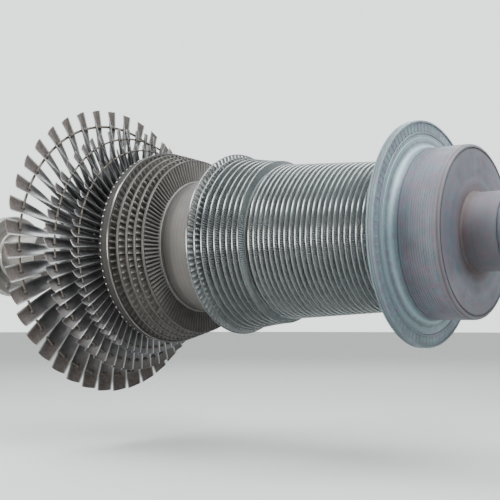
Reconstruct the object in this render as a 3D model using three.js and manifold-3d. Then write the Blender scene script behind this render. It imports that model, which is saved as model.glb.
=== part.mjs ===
// Rotor of a condensing steam turbine, laid on its side.
// Millimetres, +Z up. +X runs along the axis from the exhaust end to the high-pressure end.
// The origin is the centre of the flat face of the exhaust-end coupling flange.

import * as THREE from 'three';
import { mergeVertices } from 'three/addons/utils/BufferGeometryUtils.js';
import Module from 'manifold-3d';

const wasm = await Module();
wasm.setup();

// Fineness and the clearance between neighbouring solids.
const SEGMENTS = 24;
const GAP = 0.3;

// Straight foot of a free-standing blade, above and below the surface of its ring.
const FOOT_HEIGHT = 4;
const FOOT_DEPTH = 12;

// Exhaust end.
const FLANGE_LENGTH = 75;
const FLANGE_RADIUS = 265;
const BOLT_CIRCLE_RADIUS = 212;
const BOLT_HOLE_RADIUS = 21;
const BOLT_COUNT = 8;
const EXHAUST_JOURNAL_RADIUS = 150;
const EXHAUST_JOURNAL_END = 475;
const EXHAUST_GLAND_RADIUS = 205;
const EXHAUST_GLAND_END = 845;
const HUB_START = 905;

// Control wheel: everything on the drum is placed from its exhaust-side face.
const WHEEL_X = 3035;
const WHEEL_RADIUS = 550;
const WHEEL_BLADE_ROOT_RADIUS = 486;
const WHEEL_RIM_WIDTH = 38;
const WHEEL_NECK_END = 88;

// Low-pressure drum.
const LP_HUB_RADIUS = 365;
const LP_HUB_END = -1658;
const LP_DRUM_END = -1360;
const BARE_DRUM_END = -1105;
const BARE_DRUM_RADIUS = 376;

// High-pressure drum.
const HP_HUB_A_RADIUS = 385;
const HP_HUB_A_END = -776;
const HP_HUB_B_RADIUS = 335;
const HP_BAND_WIDTH = 17;
const HP_PLATFORM = 8;

// High-pressure end.
const PISTON_RADIUS = 414;
const PISTON_END = 290;
const HP_GLAND_RADIUS = 187;
const HP_GLAND_END = 700;
const HP_JOURNAL_RADIUS = 130;
const HP_JOURNAL_END = 1010;
const THRUST_COLLAR_RADIUS = 215;
const THRUST_COLLAR_END = 1066;
const SHAFT_END_RADIUS = 96;
const SHAFT_END = 1200;

// Rows of the first high-pressure group, from the exhaust side: station and band radius.
const HP_GROUP_A = [
  [-1082, 494], [-1046, 474], [-1009, 465],
  [-971, 458], [-934, 452], [-898, 446],
  [-864, 441], [-831, 437], [-799, 434],
];

// The second high-pressure group is an even taper.
const HP_GROUP_B = { rows: 23, first: -748, last: -89, firstRadius: 410, lastRadius: 370 };
const ROWS_PER_RING_B = 4;

// Shrouded low-pressure rows: station, band radius and band width.
const LP_ROWS = [
  { x: -1610, radius: 550, band: 52, web: 40 },
  { x: -1534, radius: 533, band: 28, web: 24 },
  { x: -1482, radius: 518, band: 26, web: 22 },
  { x: -1436, radius: 504, band: 24, web: 20 },
  { x: -1390, radius: 490, band: 24, web: 20 },
];
const LP_BAND_THICKNESS = 9;

// Free-standing blade rows: root platform, tip radii, chord and stagger (degrees from the axis).
// The phase turns the first blade from the top by a share of the pitch.
const FREE_ROWS = [
  {
    name: 'third_last_blade_row', colour: 0x4b4a49, x: -1784, count: 68, phase: 0,
    rootRadius: 383, rootWidth: 66, tipRadius: 619, flare: 6,
    rootChord: 52, tipChord: 54, rootStagger: 22, tipStagger: 53, rootThickness: 13, tipThickness: 5,
  },
  {
    name: 'second_last_blade_row', colour: 0x474747, x: -1888, count: 56, phase: 0,
    rootRadius: 390, rootWidth: 82, tipRadius: 716, flare: 8,
    rootChord: 70, tipChord: 68, rootStagger: 20, tipStagger: 55, rootThickness: 16, tipThickness: 6,
  },
  {
    name: 'last_blade_row', colour: 0x434445, x: -2064, count: 40, phase: -0.29,
    rootRadius: 400, rootWidth: 104, tipRadius: 847, flare: 12,
    rootChord: 98, tipChord: 94, rootStagger: 14, tipStagger: 70, rootThickness: 22, tipThickness: 7,
  },
];

const rotor = new THREE.Group();
rotor.name = 'steam_turbine_rotor';

function steel(colour, roughness, metalness = 0.75) {
  return new THREE.MeshStandardMaterial({ color: colour, roughness, metalness });
}

const forging = steel(0x4d4846, 0.55);
const machined = steel(0x77716b, 0.35, 0.85);
const rusty = steel(0x5b463d, 0.7, 0.6);
const darkBand = steel(0x45484a, 0.45);
const brownBand = steel(0x5d5650, 0.5);

function addPart(name, geometry, material) {
  const mesh = new THREE.Mesh(geometry, material);
  mesh.name = name;
  rotor.add(mesh);
}

// Turns a closed profile of [x, radius] points, listed from -X to +X over the outside, about the X axis.
function turned(profile, segments = SEGMENTS) {
  const first = profile[0];
  const points = [...profile, first].map(([x, radius]) => new THREE.Vector2(radius, x));
  const geometry = new THREE.LatheGeometry(points, segments);
  return geometry.rotateZ(-Math.PI / 2);
}

// A solid of revolution whose profile is closed along the axis.
function turnedShaft(outline) {
  const start = [outline[0][0], 0];
  const end = [outline[outline.length - 1][0], 0];
  const points = [start, ...outline, end].map(([x, radius]) => new THREE.Vector2(radius, x));
  const geometry = new THREE.LatheGeometry(points, SEGMENTS);
  return geometry.rotateZ(-Math.PI / 2);
}

function toManifold(geometry) {
  const bare = geometry.clone();
  bare.deleteAttribute('normal');
  bare.deleteAttribute('uv');
  const merged = mergeVertices(bare, 1e-4);
  const index = merged.index.array;
  const kept = [];
  for (let i = 0; i < index.length; i += 3) {
    const [a, b, c] = [index[i], index[i + 1], index[i + 2]];
    if (a !== b && b !== c && c !== a) {
      kept.push(a, b, c);
    }
  }
  const triVerts = new Uint32Array(kept);
  const vertProperties = new Float32Array(merged.attributes.position.array);
  return new wasm.Manifold(new wasm.Mesh({ numProp: 3, vertProperties, triVerts }));
}

function toGeometry(manifold) {
  const mesh = manifold.getMesh();
  const geometry = new THREE.BufferGeometry();
  geometry.setAttribute('position', new THREE.BufferAttribute(mesh.vertProperties, 3));
  geometry.setIndex(new THREE.BufferAttribute(mesh.triVerts, 1));
  return geometry;
}

// Coupling flange with a ring of through bolt holes.
function couplingFlange() {
  const body = turnedShaft([
    [0, FLANGE_RADIUS - 6], [6, FLANGE_RADIUS],
    [FLANGE_LENGTH - 4, FLANGE_RADIUS], [FLANGE_LENGTH, FLANGE_RADIUS - 4],
  ]);
  let flange = toManifold(body);
  for (let i = 0; i < BOLT_COUNT; i += 1) {
    const angle = ((i + 0.5) / BOLT_COUNT) * 2 * Math.PI;
    const drill = new THREE.CylinderGeometry(BOLT_HOLE_RADIUS, BOLT_HOLE_RADIUS, FLANGE_LENGTH + 20, 12);
    drill.rotateZ(Math.PI / 2);
    drill.translate(
      FLANGE_LENGTH / 2,
      BOLT_CIRCLE_RADIUS * Math.sin(angle),
      BOLT_CIRCLE_RADIUS * Math.cos(angle),
    );
    flange = flange.subtract(toManifold(drill));
  }
  return toGeometry(flange);
}

// A ring that carries several blade rows: a platform with one raised band for each row.
function bladeRing(rows, pitch, hubRadius) {
  const floor = hubRadius + HP_PLATFORM;
  const start = rows[0][0] - pitch / 2 + GAP / 2;
  const end = rows[rows.length - 1][0] + pitch / 2 - GAP / 2;
  const profile = [[start, hubRadius + GAP], [start, floor]];
  for (const [x, radius] of rows) {
    profile.push([x - HP_BAND_WIDTH / 2, floor]);
    profile.push([x - HP_BAND_WIDTH / 2, radius]);
    profile.push([x + HP_BAND_WIDTH / 2, radius]);
    profile.push([x + HP_BAND_WIDTH / 2, floor]);
  }
  profile.push([end, floor], [end, hubRadius + GAP]);
  return turned(profile.map(([x, radius]) => [WHEEL_X + x, radius]));
}

// A shrouded low-pressure row: blade zone with a wider band round the tips.
function shroudedRow({ x, radius, band, web }) {
  const centre = WHEEL_X + x;
  const under = radius - LP_BAND_THICKNESS;
  const inner = LP_HUB_RADIUS + GAP;
  return turned([
    [centre - web / 2, inner], [centre - web / 2, under],
    [centre - band / 2, under], [centre - band / 2, radius],
    [centre + band / 2, radius], [centre + band / 2, under],
    [centre + web / 2, under], [centre + web / 2, inner],
  ]);
}

// One twisted blade pointing along +Z: a straight foot, sunk into the ring, then a middle and a tip section.
// Each section is a slim three-sided profile, flat behind and full in front, turned by its stagger angle.
// The quads of the flat back are split along the same diagonal as those in front, so the two never cross.
// The blade is shifted sideways so that its root is centred on the axis plane.
function blade(row) {
  const foot = row.rootRadius + FOOT_HEIGHT;
  const stations = [
    [row.rootRadius - FOOT_DEPTH, 0], [foot, 0], [(foot + row.tipRadius) / 2, 0.5], [row.tipRadius, 1],
  ];
  const rings = stations.map(([height, t]) => {
    const mix = (a, b) => a + (b - a) * t;
    const chord = mix(row.rootChord, row.tipChord);
    const stagger = THREE.MathUtils.degToRad(mix(row.rootStagger, row.tipStagger));
    const thickness = mix(row.rootThickness, row.tipThickness);
    const camber = 0.1 * chord * (1 - 0.7 * t);
    const section = [[chord / 2, 0], [0, camber + thickness], [-chord / 2, 0]];
    return section.map(([u, v]) => {
      const x = u * Math.cos(stagger) + v * Math.sin(stagger);
      const y = -u * Math.sin(stagger) + v * Math.cos(stagger);
      const z = height - (t * row.flare * x) / 15;
      return [x, y, z];
    });
  });
  const rootSides = rings[0].map((point) => point[1]);
  const middle = (Math.min(...rootSides) + Math.max(...rootSides)) / 2;
  const positions = rings.flat().flatMap(([x, y, z]) => [x, y - middle, z]);
  const top = 3 * (rings.length - 1);
  const index = [0, 2, 1, top, top + 1, top + 2];
  for (let k = 0; k < rings.length - 1; k += 1) {
    for (let i = 0; i < 3; i += 1) {
      const a = 3 * k + i;
      const b = 3 * k + ((i + 1) % 3);
      if (i === 2) {
        index.push(a, b, b + 3, a, b + 3, a + 3);
      } else {
        index.push(a, b, a + 3, b, b + 3, a + 3);
      }
    }
  }
  const geometry = new THREE.BufferGeometry();
  geometry.setAttribute('position', new THREE.Float32BufferAttribute(positions, 3));
  geometry.setIndex(index);
  return geometry;
}

// A free-standing row: a root ring on the hub with twisted blades standing on it.
// The ring has one flat for each blade, and each root stands in the middle of its flat.
function freeRow(row) {
  const centre = WHEEL_X + row.x;
  const half = row.rootWidth / 2;
  const pitch = (2 * Math.PI) / row.count;
  const inner = (LP_HUB_RADIUS + GAP) / Math.cos(pitch / 2);
  const ring = turned([
    [centre - half, inner], [centre - half, row.rootRadius],
    [centre + half, row.rootRadius], [centre + half, inner],
  ], row.count);
  let solid = toManifold(ring.rotateX(pitch / 2));
  const pattern = blade(row);
  for (let i = 0; i < row.count; i += 1) {
    const copy = pattern.clone();
    copy.rotateX(-i * pitch);
    copy.translate(centre, 0, 0);
    solid = solid.add(toManifold(copy));
  }
  return toGeometry(solid).rotateX(-row.phase * pitch);
}

// Exhaust-end shaft.
addPart('coupling_flange', couplingFlange(), machined);
addPart('exhaust_journal', turnedShaft([
  [FLANGE_LENGTH + GAP, 172], [FLANGE_LENGTH + 22, EXHAUST_JOURNAL_RADIUS],
  [EXHAUST_JOURNAL_END - 62, EXHAUST_JOURNAL_RADIUS], [EXHAUST_JOURNAL_END - 62, 182],
  [EXHAUST_JOURNAL_END - 36, 182], [EXHAUST_JOURNAL_END - 36, 165],
  [EXHAUST_JOURNAL_END, 165],
]), machined);
addPart('exhaust_gland', turnedShaft([
  [EXHAUST_JOURNAL_END + GAP, EXHAUST_GLAND_RADIUS], [EXHAUST_JOURNAL_END + 110, EXHAUST_GLAND_RADIUS],
  [EXHAUST_JOURNAL_END + 110, EXHAUST_GLAND_RADIUS - 12], [EXHAUST_JOURNAL_END + 140, EXHAUST_GLAND_RADIUS - 12],
  [EXHAUST_JOURNAL_END + 140, EXHAUST_GLAND_RADIUS], [EXHAUST_GLAND_END - 120, EXHAUST_GLAND_RADIUS],
  [EXHAUST_GLAND_END - 120, EXHAUST_GLAND_RADIUS - 12], [EXHAUST_GLAND_END - 90, EXHAUST_GLAND_RADIUS - 12],
  [EXHAUST_GLAND_END - 90, EXHAUST_GLAND_RADIUS], [EXHAUST_GLAND_END, EXHAUST_GLAND_RADIUS],
]), forging);
addPart('exhaust_shoulder', turnedShaft([
  [EXHAUST_GLAND_END + GAP, 232], [HUB_START - 8, 330],
  [HUB_START - GAP, 330],
]), forging);

// Low-pressure drum and its rows.
addPart('low_pressure_hub', turnedShaft([
  [HUB_START, LP_HUB_RADIUS - 14], [HUB_START + 14, LP_HUB_RADIUS],
  [WHEEL_X + LP_HUB_END, LP_HUB_RADIUS],
]), forging);
for (const row of FREE_ROWS) {
  addPart(row.name, freeRow(row), steel(row.colour, 0.4, 0.8));
}
addPart('low_pressure_drum', turnedShaft([
  [WHEEL_X + LP_HUB_END + GAP, LP_HUB_RADIUS],
  [WHEEL_X + LP_DRUM_END, LP_HUB_RADIUS],
]), forging);
LP_ROWS.forEach((row, i) => {
  addPart(`low_pressure_row_${i + 1}`, shroudedRow(row), i === 0 ? brownBand : darkBand);
});
addPart('bare_drum', turnedShaft([
  [WHEEL_X + LP_DRUM_END + GAP, LP_HUB_RADIUS], [WHEEL_X - 1300, LP_HUB_RADIUS],
  [WHEEL_X - 1294, BARE_DRUM_RADIUS], [WHEEL_X + BARE_DRUM_END, BARE_DRUM_RADIUS],
]), brownBand);

// High-pressure drum and its rows.
addPart('high_pressure_drum_a', turnedShaft([
  [WHEEL_X + BARE_DRUM_END + GAP, HP_HUB_A_RADIUS],
  [WHEEL_X + HP_HUB_A_END, HP_HUB_A_RADIUS],
]), forging);
for (let i = 0; i < 3; i += 1) {
  const rows = HP_GROUP_A.slice(3 * i, 3 * i + 3);
  addPart(`high_pressure_rows_a${i + 1}`, bladeRing(rows, 33, HP_HUB_A_RADIUS), darkBand);
}
addPart('high_pressure_drum_b', turnedShaft([
  [WHEEL_X + HP_HUB_A_END + GAP, HP_HUB_B_RADIUS],
  [WHEEL_X - GAP, HP_HUB_B_RADIUS],
]), forging);
const pitchB = (HP_GROUP_B.last - HP_GROUP_B.first) / (HP_GROUP_B.rows - 1);
const rowsB = Array.from({ length: HP_GROUP_B.rows }, (_, k) => [
  HP_GROUP_B.first + k * pitchB,
  THREE.MathUtils.lerp(HP_GROUP_B.firstRadius, HP_GROUP_B.lastRadius, k / (HP_GROUP_B.rows - 1)),
]);
for (let i = 0; i * ROWS_PER_RING_B < rowsB.length; i += 1) {
  const rows = rowsB.slice(i * ROWS_PER_RING_B, (i + 1) * ROWS_PER_RING_B);
  addPart(`high_pressure_rows_b${i + 1}`, bladeRing(rows, pitchB, HP_HUB_B_RADIUS), darkBand);
}

// Control wheel with its blades, and the balance piston.
addPart('control_wheel', turnedShaft([
  [WHEEL_X, WHEEL_BLADE_ROOT_RADIUS - 4], [WHEEL_X + 4, WHEEL_BLADE_ROOT_RADIUS],
  [WHEEL_X + 4 + WHEEL_RIM_WIDTH, WHEEL_BLADE_ROOT_RADIUS], [WHEEL_X + 46, WHEEL_BLADE_ROOT_RADIUS - 6],
  [WHEEL_X + 50, PISTON_RADIUS + 26], [WHEEL_X + 62, PISTON_RADIUS + 8],
  [WHEEL_X + WHEEL_NECK_END, PISTON_RADIUS],
]), darkBand);
addPart('control_blade_row', turned([
  [WHEEL_X + 4, WHEEL_BLADE_ROOT_RADIUS + GAP], [WHEEL_X + 4, WHEEL_RADIUS],
  [WHEEL_X + 4 + WHEEL_RIM_WIDTH, WHEEL_RADIUS],
  [WHEEL_X + 4 + WHEEL_RIM_WIDTH, WHEEL_BLADE_ROOT_RADIUS + GAP],
]), darkBand);
addPart('balance_piston', turnedShaft([
  [WHEEL_X + WHEEL_NECK_END + GAP, PISTON_RADIUS], [WHEEL_X + PISTON_END - 7, PISTON_RADIUS],
  [WHEEL_X + PISTON_END, PISTON_RADIUS - 9],
]), rusty);

// High-pressure end of the shaft.
addPart('high_pressure_gland', turnedShaft([
  [WHEEL_X + PISTON_END + GAP, HP_GLAND_RADIUS + 14], [WHEEL_X + PISTON_END + 16, HP_GLAND_RADIUS],
  [WHEEL_X + PISTON_END + 170, HP_GLAND_RADIUS], [WHEEL_X + PISTON_END + 170, HP_GLAND_RADIUS - 12],
  [WHEEL_X + PISTON_END + 200, HP_GLAND_RADIUS - 12], [WHEEL_X + PISTON_END + 200, HP_GLAND_RADIUS],
  [WHEEL_X + HP_GLAND_END, HP_GLAND_RADIUS],
]), rusty);
addPart('high_pressure_journal', turnedShaft([
  [WHEEL_X + HP_GLAND_END + GAP, 160], [WHEEL_X + HP_GLAND_END + 24, 160],
  [WHEEL_X + HP_GLAND_END + 40, HP_JOURNAL_RADIUS], [WHEEL_X + HP_JOURNAL_END, HP_JOURNAL_RADIUS],
]), machined);
addPart('thrust_collar', turnedShaft([
  [WHEEL_X + HP_JOURNAL_END + GAP, THRUST_COLLAR_RADIUS - 4],
  [WHEEL_X + HP_JOURNAL_END + 4, THRUST_COLLAR_RADIUS],
  [WHEEL_X + THRUST_COLLAR_END - 4, THRUST_COLLAR_RADIUS],
  [WHEEL_X + THRUST_COLLAR_END, THRUST_COLLAR_RADIUS - 4],
]), machined);
addPart('high_pressure_shaft_end', turnedShaft([
  [WHEEL_X + THRUST_COLLAR_END + GAP, SHAFT_END_RADIUS],
  [WHEEL_X + SHAFT_END - 8, SHAFT_END_RADIUS], [WHEEL_X + SHAFT_END, SHAFT_END_RADIUS - 8],
]), machined);

export default rotor;
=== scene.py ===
"""Steam turbine rotor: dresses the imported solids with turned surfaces, blade rows and steel finishes."""

import bmesh
import bpy
import numpy as np
from mathutils import Euler, Matrix, Vector


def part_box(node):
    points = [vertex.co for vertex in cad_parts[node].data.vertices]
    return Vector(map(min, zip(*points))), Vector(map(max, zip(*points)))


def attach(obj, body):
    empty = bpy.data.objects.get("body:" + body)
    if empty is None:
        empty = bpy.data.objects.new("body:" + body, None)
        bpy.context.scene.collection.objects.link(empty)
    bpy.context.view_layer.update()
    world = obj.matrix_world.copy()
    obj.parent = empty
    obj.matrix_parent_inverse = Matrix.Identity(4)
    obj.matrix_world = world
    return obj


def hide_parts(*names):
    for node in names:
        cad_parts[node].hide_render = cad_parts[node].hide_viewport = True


bl_info = {
    "name": "Steam turbine rotor",
    "version": (1, 0, 0),
    "blender": (4, 5, 0),
    "location": "3D View > Sidebar > Rotor",
    "description": "Builds a steam turbine rotor with its blade rows, wheel, piston and shaft ends",
    "category": "Object",
}

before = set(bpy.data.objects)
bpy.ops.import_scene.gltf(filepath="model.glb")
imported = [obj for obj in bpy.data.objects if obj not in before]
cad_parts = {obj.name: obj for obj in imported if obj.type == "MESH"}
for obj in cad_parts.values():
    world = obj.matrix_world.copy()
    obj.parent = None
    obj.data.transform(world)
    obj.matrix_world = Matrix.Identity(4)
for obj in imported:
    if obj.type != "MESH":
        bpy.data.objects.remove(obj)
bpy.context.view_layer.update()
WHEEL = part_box("control_wheel")[0][0]

# Radii of the drum under the rows, and the clearance between a piece and what it sits on.
LOW_DRUM = 0.365
HIGH_DRUM_A = 0.385
HIGH_DRUM_B = 0.335
CLEARANCE = 0.0003

# Edges between faces that meet at more than this angle, in degrees, stay sharp.
SHARP_ANGLE = 32.0

# Rows of the first high-pressure group: station from the wheel, band radius and blade count.
GROUP_A = (
    (-1.082, 0.494, 96),
    (-1.046, 0.474, 100),
    (-1.009, 0.465, 228),
    (-0.971, 0.458, 228),
    (-0.934, 0.452, 228),
    (-0.898, 0.446, 228),
    (-0.864, 0.441, 228),
    (-0.831, 0.437, 228),
    (-0.799, 0.434, 228),
)

# First and last row of the second high-pressure group, as above, and the number of its rows.
GROUP_B_FIRST = (-0.748, 0.410, 220)
GROUP_B_LAST = (-0.089, 0.370, 204)
GROUP_B_COUNT = 23

# Rows with fewer blades than this have wide straight blades with open gaps.
OPEN_ROW = 120

# Shrouded low-pressure rows: station, radius, width and thickness of the band,
# then count, chord and thickness of the blades, and how much painted shade darkens them.
LOW_ROWS = (
    (-1.610, 0.550, 0.052, 0.0145, 90, 0.054, 0.0125, 0.0),
    (-1.534, 0.533, 0.017, 0.0065, 94, 0.034, 0.0105, 0.1),
    (-1.482, 0.518, 0.016, 0.0065, 90, 0.033, 0.0105, 0.1),
    (-1.436, 0.504, 0.016, 0.0065, 86, 0.033, 0.0105, 0.1),
    (-1.390, 0.490, 0.016, 0.0065, 126, 0.027, 0.0145, 0.6),
)


class RotorSizes(bpy.types.PropertyGroup):
    """Sizes that a user would change, in metres."""

    segments: bpy.props.IntProperty(
        name="Segments", description="Facets round each turned surface",
        default=144, min=24, max=360,
    )
    band_thickness: bpy.props.FloatProperty(
        name="Band thickness", description="Radial thickness of the shroud bands",
        default=0.005, unit="LENGTH",
    )
    high_band_width: bpy.props.FloatProperty(
        name="High-pressure band width", description="Axial width of a high-pressure shroud band",
        default=0.0098, unit="LENGTH",
    )
    groove_pitch: bpy.props.FloatProperty(
        name="Groove pitch", description="Distance between the sealing grooves of the piston",
        default=0.0115, unit="LENGTH",
    )
    groove_depth: bpy.props.FloatProperty(
        name="Groove depth", description="Depth of the sealing grooves of the piston",
        default=0.0014, unit="LENGTH",
    )
    wire_radius: bpy.props.FloatProperty(
        name="Wire radius", description="Radius of the lacing wires' section",
        default=0.0068, unit="LENGTH",
    )
    floor_height: bpy.props.FloatProperty(
        name="Floor height", description="Height of the floor below the rotor's axis",
        default=-1.15, unit="LENGTH",
    )


class RotorColours(bpy.types.PropertyGroup):
    """Colours of the finishes and the floor."""

    forging: bpy.props.FloatVectorProperty(
        name="Forging", description="Brown-grey steel of the drum",
        default=(0.1, 0.095, 0.091), subtype="COLOR", min=0, max=1,
    )
    low_band: bpy.props.FloatVectorProperty(
        name="Low-pressure bands", description="Brown-grey film of the low-pressure bands",
        default=(0.038, 0.0355, 0.034), subtype="COLOR", min=0, max=1,
    )
    low_row: bpy.props.FloatVectorProperty(
        name="Low-pressure rows", description="Brown-grey steel of the shrouded low-pressure blades",
        default=(0.21, 0.196, 0.186), subtype="COLOR", min=0, max=1,
    )
    high_band: bpy.props.FloatVectorProperty(
        name="High-pressure bands", description="Rubbed steel of the high-pressure bands",
        default=(0.115, 0.12, 0.12), subtype="COLOR", min=0, max=1,
    )
    high_row: bpy.props.FloatVectorProperty(
        name="High-pressure rows", description="Grey film of the high-pressure blades",
        default=(0.245, 0.263, 0.27), subtype="COLOR", min=0, max=1,
    )
    blade: bpy.props.FloatVectorProperty(
        name="Blades", description="Dark film on the blades",
        default=(0.124, 0.12, 0.124), subtype="COLOR", min=0, max=1,
    )
    # Bright edges of the blades: worn metal, partly a painted highlight; also the colour of the rivet heads.
    blade_edge: bpy.props.FloatVectorProperty(
        name="Blade edges", description="Bright worn edges of the blades",
        default=(0.52, 0.525, 0.52), subtype="COLOR", min=0, max=1,
    )
    erosion: bpy.props.FloatVectorProperty(
        name="Tip erosion", description="Brown-pink worn patches on the blade tips",
        default=(0.058, 0.045, 0.04), subtype="COLOR", min=0, max=1,
    )
    wire: bpy.props.FloatVectorProperty(
        name="Wires", description="Brown oxide of the lacing wires",
        default=(0.085, 0.07, 0.058), subtype="COLOR", min=0, max=1,
    )
    wheel: bpy.props.FloatVectorProperty(
        name="Wheel", description="Blue-grey oxide film of the control wheel",
        default=(0.16, 0.235, 0.25), subtype="COLOR", min=0, max=1,
    )
    piston: bpy.props.FloatVectorProperty(
        name="Piston", description="Purple-brown film of the balance piston",
        default=(0.105, 0.136, 0.162), subtype="COLOR", min=0, max=1,
    )
    rust: bpy.props.FloatVectorProperty(
        name="Rust", description="Thin rust on the piston end and the shaft",
        default=(0.1, 0.066, 0.066), subtype="COLOR", min=0, max=1,
    )
    machined: bpy.props.FloatVectorProperty(
        name="Machined steel", description="Ground steel of journals and flange",
        default=(0.3, 0.29, 0.275), subtype="COLOR", min=0, max=1,
    )
    floor: bpy.props.FloatVectorProperty(
        name="Floor", description="Pale studio floor",
        default=(0.42, 0.43, 0.43), subtype="COLOR", min=0, max=1,
    )


# Surfaces.


def grid_faces(rows, columns, close_rows=False):
    """Quads of a grid of rows x columns points that is closed along the columns.

    Point (i, j) has index i * columns + j. The quad's corners are (i, j), (i+1, j), (i+1, j+1), (i, j+1).
    """
    i = np.arange(rows if close_rows else rows - 1)[:, None]
    j = np.arange(columns)[None, :]
    below = i * columns
    above = (i + 1) % rows * columns
    right = (j + 1) % columns
    quads = np.stack(np.broadcast_arrays(below + j, above + j, above + right, below + right), axis=-1)
    return quads.reshape(-1, 4)


def turned(profile, segments, closed=False):
    """Surface of revolution about X of a profile of (x, r) points, listed from -X to +X over the outside.

    P(i, a) = (x_i, r_i sin a, r_i cos a), a going once round. A closed profile makes a ring.
    """
    profile = np.asarray(profile, float)
    angle = np.linspace(0, 2 * np.pi, segments, endpoint=False)
    x = np.repeat(profile[:, :1], segments, axis=1)
    y = profile[:, 1:] * np.sin(angle)
    z = profile[:, 1:] * np.cos(angle)
    points = np.stack([x, y, z], axis=-1).reshape(-1, 3)
    return points, grid_faces(len(profile), segments, closed)


def solid_shaft(outline, segments):
    """Surface of revolution of an outline whose ends are joined to the axis, with the poles left to merge."""
    outline = [(outline[0][0], 0.0), *outline, (outline[-1][0], 0.0)]
    return turned(outline, segments)


def around(points, faces, count, phase=0.0):
    """Copies a shape that stands on +Z count times round X.

    Copy k is turned by a = 2 pi (k + phase) / count: (x, y cos a + z sin a, z cos a - y sin a).
    """
    angle = 2 * np.pi * (np.arange(count)[:, None] + phase) / count
    x = np.repeat(points[None, :, 0], count, axis=0)
    y = points[:, 1] * np.cos(angle) + points[:, 2] * np.sin(angle)
    z = points[:, 2] * np.cos(angle) - points[:, 1] * np.sin(angle)
    copies = np.stack([x, y, z], axis=-1).reshape(-1, 3)
    shifted = [face + np.arange(count)[:, None, None] * len(points) for face in faces]
    return copies, [face.reshape(-1, face.shape[-1]) for face in shifted]


def cap_faces(start, columns, upwards):
    """Faces that close a ring of n points: quads join point i to point n - i, with a triangle at each end."""
    half = columns // 2
    i = np.arange(1, half - 1)
    quads = np.stack([i, i + 1, columns - i - 1, columns - i], axis=-1) + start
    triangles = np.array([[0, 1, columns - 1], [half - 1, half, half + 1]]) + start
    if not upwards:
        quads, triangles = quads[:, ::-1], triangles[:, ::-1]
    return quads, triangles


def blade(span, chord, stagger, thickness, camber, section, lean=0.0):
    """Twisted blade along +Z with closed ends.

    span, chord, stagger, thickness and camber are arrays with one value a station.
    In a section with t going once round, u = chord / 2 cos t runs along the chord and
    v = thickness / 2 sin t (1 + 0.35 cos t) + camber (cos(t)^2 - 0.4) across it.
    The section has that many points. It is turned by the stagger angle from X towards -Y,
    and span gives its height.
    lean adds lean * x to the height, which slopes the tip.
    """
    t = np.linspace(0, 2 * np.pi, section, endpoint=False)
    chord, thickness, camber = (np.asarray(a, float)[:, None] for a in (chord, thickness, camber))
    angle = np.radians(np.asarray(stagger, float))[:, None]
    height = np.asarray(span, float)[:, None]
    u = chord / 2 * np.cos(t)
    v = thickness / 2 * np.sin(t) * (1 + 0.35 * np.cos(t)) + camber * (np.cos(t) ** 2 - 0.4)
    x = u * np.cos(angle) + v * np.sin(angle)
    y = -u * np.sin(angle) + v * np.cos(angle)
    share = (height - height[0]) / (height[-1] - height[0])
    z = height - lean * x * share
    points = np.stack([x, y, z], axis=-1).reshape(-1, 3)
    rows = len(height)
    sides = grid_faces(rows, section)[:, ::-1]
    top, top_triangles = cap_faces((rows - 1) * section, section, True)
    bottom, bottom_triangles = cap_faces(0, section, False)
    quads = np.concatenate([sides, top, bottom])
    triangles = np.concatenate([top_triangles, bottom_triangles])
    edge = np.abs(np.cos(np.broadcast_to(t, (rows, section)))) ** 6
    reach = np.broadcast_to(share, (rows, section))
    return points, [quads, triangles], edge.reshape(-1), reach.reshape(-1)


class Shape:
    """Collects points, faces and two point attributes of one piece."""

    def __init__(self):
        self.points, self.faces, self.wear, self.reach = [], [], [], []
        self.size = 0

    def add(self, points, faces, wear=0.0, reach=0.0):
        for face in faces if isinstance(faces, list) else [faces]:
            self.faces.extend((face + self.size).tolist())
        self.points.append(points)
        self.wear.append(np.broadcast_to(wear, len(points)))
        self.reach.append(np.broadcast_to(reach, len(points)))
        self.size += len(points)

    def finish(self, name, material, slot, nodes):
        """Makes the mesh object, merges its poles and puts it on the rotor in place of the CAD nodes."""
        mesh = bpy.data.meshes.new(name)
        mesh.from_pydata(np.concatenate(self.points).tolist(), [], self.faces)
        for label, values in (("wear", self.wear), ("reach", self.reach)):
            layer = mesh.attributes.new(label, "FLOAT", "POINT")
            layer.data.foreach_set("value", np.concatenate(values).astype(np.float32))
        work = bmesh.new()
        work.from_mesh(mesh)
        bmesh.ops.remove_doubles(work, verts=work.verts, dist=1e-6)
        work.to_mesh(mesh)
        work.free()
        mesh.shade_smooth()
        mesh.set_sharp_from_angle(angle=np.radians(SHARP_ANGLE))
        mesh.materials.append(material)
        piece = bpy.data.objects.new(name, mesh)
        bpy.context.scene.collection.objects.link(piece)
        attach(piece, "root")
        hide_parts(*nodes)


def ring_of(profile, segments):
    """Closed ring of a profile of (x, r, polish) points; gives its points, faces and polish."""
    points, faces = turned([point[:2] for point in profile], segments, closed=True)
    return points, faces, np.repeat([point[2] for point in profile], segments)


def band(x, radius, width, thickness, segments, bevel=0.0012):
    """Shroud band: a ring of rectangular section with broken edges, glossy along the edge towards +X."""
    half = width / 2
    inner = radius - thickness
    return ring_of((
        (x - half, inner, 0), (x - half, radius - bevel, 0.2), (x - half + bevel, radius, 0.2),
        (x + half - 4 * bevel, radius, 0.1), (x + half - 3 * bevel, radius, 0.55),
        (x + half - bevel, radius, 0.55), (x + half, radius - bevel, 0.55), (x + half, inner, 0.1),
    ), segments)


def crowned_band(x, radius, width, thickness, segments, crown=0.0012):
    """Narrow shroud band with a slightly rounded, rubbed face."""
    half = width / 2
    inner = radius - thickness
    return ring_of((
        (x - half, inner, 0), (x - half, radius - 2 * crown, 0.6),
        (x - 0.7 * half, radius - 0.4 * crown, 1), (x, radius, 1), (x + 0.7 * half, radius - 0.4 * crown, 1),
        (x + half, radius - 2 * crown, 0.8), (x + half, inner, 0),
    ), segments)


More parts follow.
